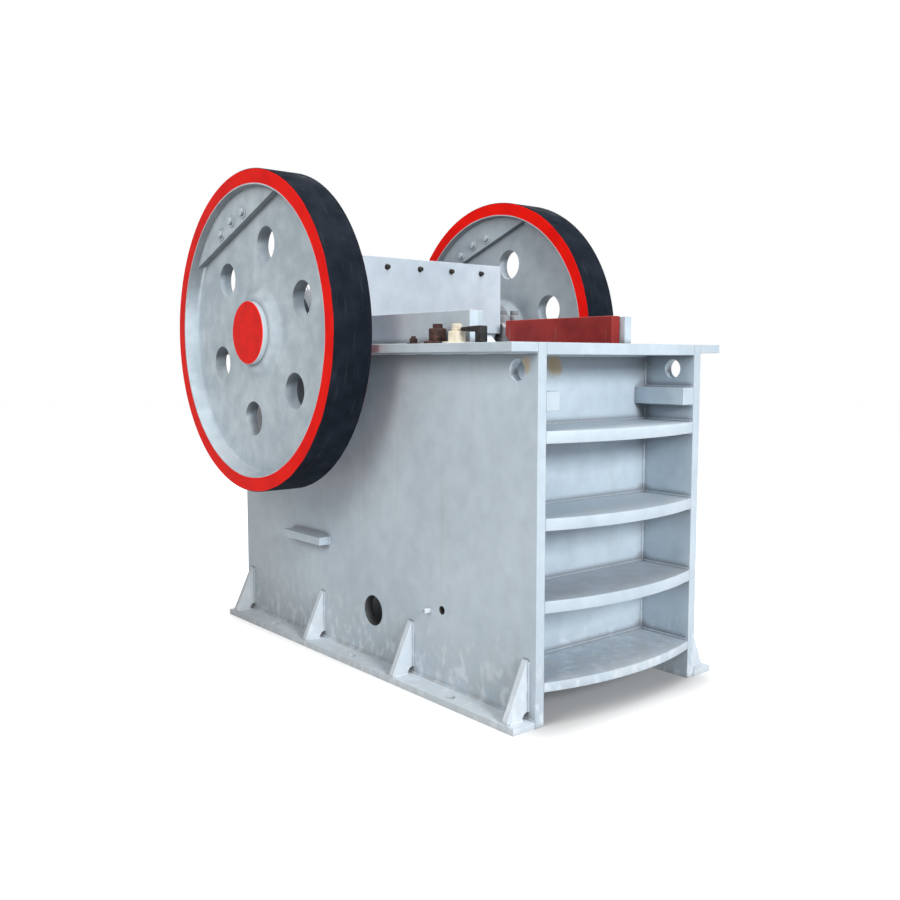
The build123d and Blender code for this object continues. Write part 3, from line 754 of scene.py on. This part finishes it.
# bolts that hold the balance segments of the wheels, on both faces
segmentBolts = {"across": 0.034, "thick": 0.014, "washer": 0.004, "circle": 0.573,
                "angles": (98, 110, 122), "proud": 0.064}
pattern = hexBolt(segmentBolts)
wheelMiddle = (wheelLow.x + wheelHigh.x) / 2
for side, sideName in sides:
    bolts = []
    for angle in segmentBolts["angles"]:
        turn = radians(angle)
        for way in (-1, 1):
            spot = (side * wheelMiddle + way * segmentBolts["proud"],
                    shaftY - segmentBolts["circle"] * cos(turn), shaftZ + segmentBolts["circle"] * sin(turn))
            bolts.append(copied(pattern, spot, (0, way * radians(90), 0)))
    finished(joined(bolts, "segmentBolts" + sideName), "rotor", finishes["flywheel_paint"])
bpy.data.objects.remove(pattern)

# on the left flange: a rusty stud, a painted nut with a black hooked clamp, and a small rusty nut
flangeStud = {"across": 0.066, "thick": 0.052, "washer": 0.010, "end": 0.018,
              "place": (-0.561, -0.607), "turn": 8}
paintedNut = {"across": 0.068, "thick": 0.042, "washer": 0.006, "end": 0.030,
              "place": (-0.561, -0.728), "turn": 20}
smallNut = {"across": 0.032, "thick": 0.020, "washer": 0.005, "end": 0.008,
            "place": (-0.561, -0.445), "turn": 25}
for name, size, slotName, material in (("flangeStud", flangeStud, "bare_steel", rusty),
                                       ("paintedNut", paintedNut, "frame_paint", cream),
                                       ("smallNut", smallNut, "bare_steel", rusty)):
    fitting(name, size, (*size["place"], topZ), (0, 0, radians(size["turn"])), material)

clamp = {"nose": -0.764, "heel": -0.892, "top": 0.066, "thick": 0.024, "width": 0.040, "leg": 0.034,
         "taper": 0.7, "rounding": 0.006}
legEnd = clamp["heel"] + clamp["leg"]
clampTop = topZ + clamp["top"]
letGo()
bpy.ops.mesh.primitive_cube_add(size=1)
bar = named("hopperClamp")
bar.scale = (clamp["width"], clamp["nose"] - clamp["heel"], clamp["thick"])
bar.location = (paintedNut["place"][0], (clamp["nose"] + clamp["heel"]) / 2, clampTop - clamp["thick"] / 2)
bpy.ops.object.transform_apply()
pick(bar, "FACE", lambda middle, way: True)
bpy.ops.mesh.bisect(plane_co=(0, legEnd, 0), plane_no=(0, 1, 0))
pick(bar, "FACE", lambda middle, way: way.z < -0.9 and middle.y < legEnd)
bpy.ops.mesh.extrude_region_move(TRANSFORM_OT_translate={"value": (0, 0, clamp["thick"] - clamp["top"])})
pick(bar, "FACE", lambda middle, way: way.y > 0.9 and middle.z > clampTop - clamp["thick"])
bpy.ops.transform.resize(value=(clamp["taper"], 1, clamp["taper"]))
bar = named("hopperClamp")
rounding = bar.modifiers.new("rounding", "BEVEL")
rounding.width = clamp["rounding"]
rounding.segments = 3
bpy.ops.object.modifier_apply(modifier="rounding")
finished(bar, "frame", black)

# the white plug beside the drain hole of the left side plate
plug = {"place": (-0.468, 0.335), "radius": 0.011, "length": 0.034, "rim": 0.003, "hollow": 0.004,
        "rounding": 0.001}
letGo()
bpy.ops.mesh.primitive_cylinder_add(vertices=20, radius=plug["radius"], depth=plug["length"],
                                    rotation=(0, radians(90), 0),
                                    location=(-outerX - plug["length"] / 2, *plug["place"]))
peg = named("drainPlug")
bpy.ops.object.transform_apply()
pick(peg, "FACE", lambda middle, way: way.x < -0.9)
bpy.ops.mesh.inset(thickness=plug["rim"])
bpy.ops.mesh.extrude_region_move(TRANSFORM_OT_translate={"value": (plug["hollow"], 0, 0)})
pick(peg, "EDGE", lambda middle, way: middle.x < -outerX - plug["length"] * 0.98 and abs(way.x) < 0.1)
bpy.ops.mesh.bevel(offset=plug["rounding"], segments=2, affect="EDGES")
finished(named("drainPlug"), "frame", finishes["casting_paint"])

# grease nipples on the bearing caps
nipple = {"across": 0.016, "thick": 0.010, "washer": 0.003, "end": 0.014, "place": 0.545, "sunk": 0.001}
for side, sideName in sides:
    spot = (side * nipple["place"], shaftY, capHigh.z - nipple["sunk"])
    fitting("greaseNipple" + sideName, nipple, spot, (0, 0, 0), finishes["bare_steel"])
print("small fittings placed")

# the fork that holds the tension rod to the jaw's tail lug, and its cross pin
fork = {"back": 0.012, "joint": -0.0415, "nose": -0.118, "half": 0.050, "slot": 0.0335, "tall": 0.042,
        "noseRadius": 0.034, "rounding": 0.003, "pin": 0.018, "pinHalf": 0.066, "pinInset": 0.040,
        "pinRim": 0.005, "pinProud": 1.05}
letGo()
bpy.ops.mesh.primitive_cube_add(size=1)
yoke = named("rodFork")
yoke.scale = (fork["half"] * 2, fork["back"] - fork["joint"], fork["tall"] * 2)
yoke.location = (0, (fork["back"] + fork["joint"]) / 2, rodZ)
bpy.ops.object.transform_apply()
for edge in (-fork["slot"], fork["slot"]):
    pick(yoke, "FACE", lambda middle, way: True)
    bpy.ops.mesh.bisect(plane_co=(edge, 0, 0), plane_no=(1, 0, 0))
pick(yoke, "FACE", lambda middle, way: way.y < -0.9 and abs(middle.x) > fork["slot"])
bpy.ops.mesh.extrude_region_move(TRANSFORM_OT_translate={"value": (0, fork["nose"] - fork["joint"], 0)})
pick(yoke, "EDGE", lambda middle, way: abs(way.x) > 0.9 and middle.y < fork["nose"] + 0.001)
bpy.ops.mesh.bevel(offset=fork["noseRadius"], segments=5, affect="EDGES")
yoke = named("rodFork")
rounding = yoke.modifiers.new("rounding", "BEVEL")
rounding.width = fork["rounding"]
rounding.segments = 2
rounding.limit_method = "ANGLE"
bpy.ops.object.modifier_apply(modifier="rounding")
letGo()
pinMiddle = (0, fork["nose"] + fork["pinInset"], rodZ)
bpy.ops.mesh.primitive_cylinder_add(vertices=24, radius=fork["pin"], depth=fork["pinHalf"] * 2,
                                    rotation=(0, radians(90), 0), location=pinMiddle)
crossPin = named("crossPin")
bpy.ops.object.transform_apply()
pick(crossPin, "FACE", lambda middle, way: abs(way.x) > 0.9)
bpy.ops.mesh.inset(thickness=fork["pinRim"], use_individual=True)
bpy.ops.transform.resize(value=(fork["pinProud"], 1, 1), center_override=pinMiddle)
finished(joined([yoke, named("crossPin")], "rodFork"), "swing_jaw", finishes["bare_steel"])

# two lock nuts behind the spring washer
rodNuts = {"across": 0.075, "thick": 0.036, "washer": 0.002, "pitch": 0.039, "turns": (0, 20)}
pattern = hexBolt(rodNuts)
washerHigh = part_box("tension_washer")[1]
bolts = []
for number, turn in enumerate(rodNuts["turns"]):
    spot = (0, washerHigh.y + number * rodNuts["pitch"], rodZ)
    bolts.append(copied(pattern, spot, (radians(-90), radians(turn), 0)))
finished(joined(bolts, "rodNuts"), "swing_jaw", finishes["bare_steel"])
bpy.data.objects.remove(pattern)
print("moving fasteners placed")

# stage: a pale floor that goes white in the distance and keeps the shadow under the frame
stageLook = {"floor": (0.62, 0.62, 0.62, 1), "specks": (0.80, 0.80, 0.80, 1), "lift": 0.80,
             "shadeX": (0.46, 0.75), "shadeY": (1.05, 1.45), "sky": (0.96, 0.98, 1.0, 1), "skyLevel": 0.22}
white = (1, 1, 1, 1)
letGo()
bpy.ops.mesh.primitive_plane_add(size=60, location=(0, 0, 0))
floor = named("floor")
ground = Finish("floorPale")
cameraRay = ground.add("ShaderNodeLightPath", {}, {}, "Is Camera Ray")
glossyRay = ground.add("ShaderNodeLightPath", {}, {}, "Is Glossy Ray")
awayY = ground.absolute(ground.axis(ground.place, "Y"))
shade = ground.fade(ground.aside(), *stageLook["shadeX"]) * ground.fade(awayY, *stageLook["shadeY"])
ground.feed(Base_Color=ground.blend(ground.noise(3, 2.0) * 0.1, stageLook["floor"], stageLook["specks"]),
            Roughness=0.9)
strength = (cameraRay + glossyRay) * (1 - shade) * stageLook["lift"]
glow = ground.add("ShaderNodeEmission", {}, {"Color": white, "Strength": strength})
whole = ground.add("ShaderNodeAddShader", {}, {0: Value(ground, ground.shader.outputs[0]), 1: glow})
ground.fill(ground.tree.nodes["Material Output"].inputs["Surface"], whole)
floor.data.materials.append(ground.material)

# the world lights the object softly, and shows as white
world = bpy.data.worlds.new("studio")
bpy.context.scene.world = world
world.use_nodes = True
sky = Nodes(world.node_tree)
cameraRay = sky.add("ShaderNodeLightPath", {}, {}, "Is Camera Ray")
glossyRay = sky.add("ShaderNodeLightPath", {}, {}, "Is Glossy Ray")
seen = sky.add("ShaderNodeMath", {"operation": "MAXIMUM"}, {0: cameraRay, 1: glossyRay})
soft = sky.add("ShaderNodeBackground", {}, {"Color": stageLook["sky"], "Strength": stageLook["skyLevel"]})
blank = sky.add("ShaderNodeBackground", {}, {"Color": white})
mixed = sky.add("ShaderNodeMixShader", {}, {0: seen, 1: soft, 2: blank})
sky.fill(sky.tree.nodes["World Output"].inputs["Surface"], mixed)

# broad soft lamps that look at the middle of the machine
lampLook = {"frontLamp": {"place": (-2.2, -12.6, 5.3), "size": 3.3, "power": 1230, "tint": (1.0, 1.0, 1.0)},
            "topLamp": {"place": (0.4, -0.6, 6.5), "size": 4.0, "power": 240, "tint": (1.0, 1.0, 1.0)},
            "leftLamp": {"place": (-6.4, -1.8, 4.0), "size": 3.0, "power": 150, "tint": (1.0, 0.95, 0.88)},
            "rearLamp": {"place": (4.6, 5.4, 4.2), "size": 4.0, "power": 230, "tint": (1.0, 1.0, 1.0)}}
lampTarget = Vector((0, -0.2, 1.0))
for lampName, look in lampLook.items():
    lampData = bpy.data.lights.new(lampName, "AREA")
    lampData.energy = look["power"]
    lampData.size = look["size"]
    lampData.color = look["tint"]
    lamp = bpy.data.objects.new(lampName, lampData)
    bpy.context.scene.collection.objects.link(lamp)
    lamp.location = look["place"]
    lamp.rotation_euler = (lampTarget - lamp.location).to_track_quat("-Z", "Y").to_euler()

cameraLook = {"place": (-3.0428, -3.6978, 1.4098), "turn": (90 - 5.2549, 0, -39.488), "lens": 38.73,
              "sensor": 36}
cameraData = bpy.data.cameras.new("camera")
cameraData.sensor_width = cameraLook["sensor"]
cameraData.lens = cameraLook["lens"]
camera = bpy.data.objects.new("camera", cameraData)
bpy.context.scene.collection.objects.link(camera)
camera.location = cameraLook["place"]
camera.rotation_euler = [radians(angle) for angle in cameraLook["turn"]]
bpy.context.scene.camera = camera
bpy.context.scene.view_settings.view_transform = "Standard"
print("stage set")
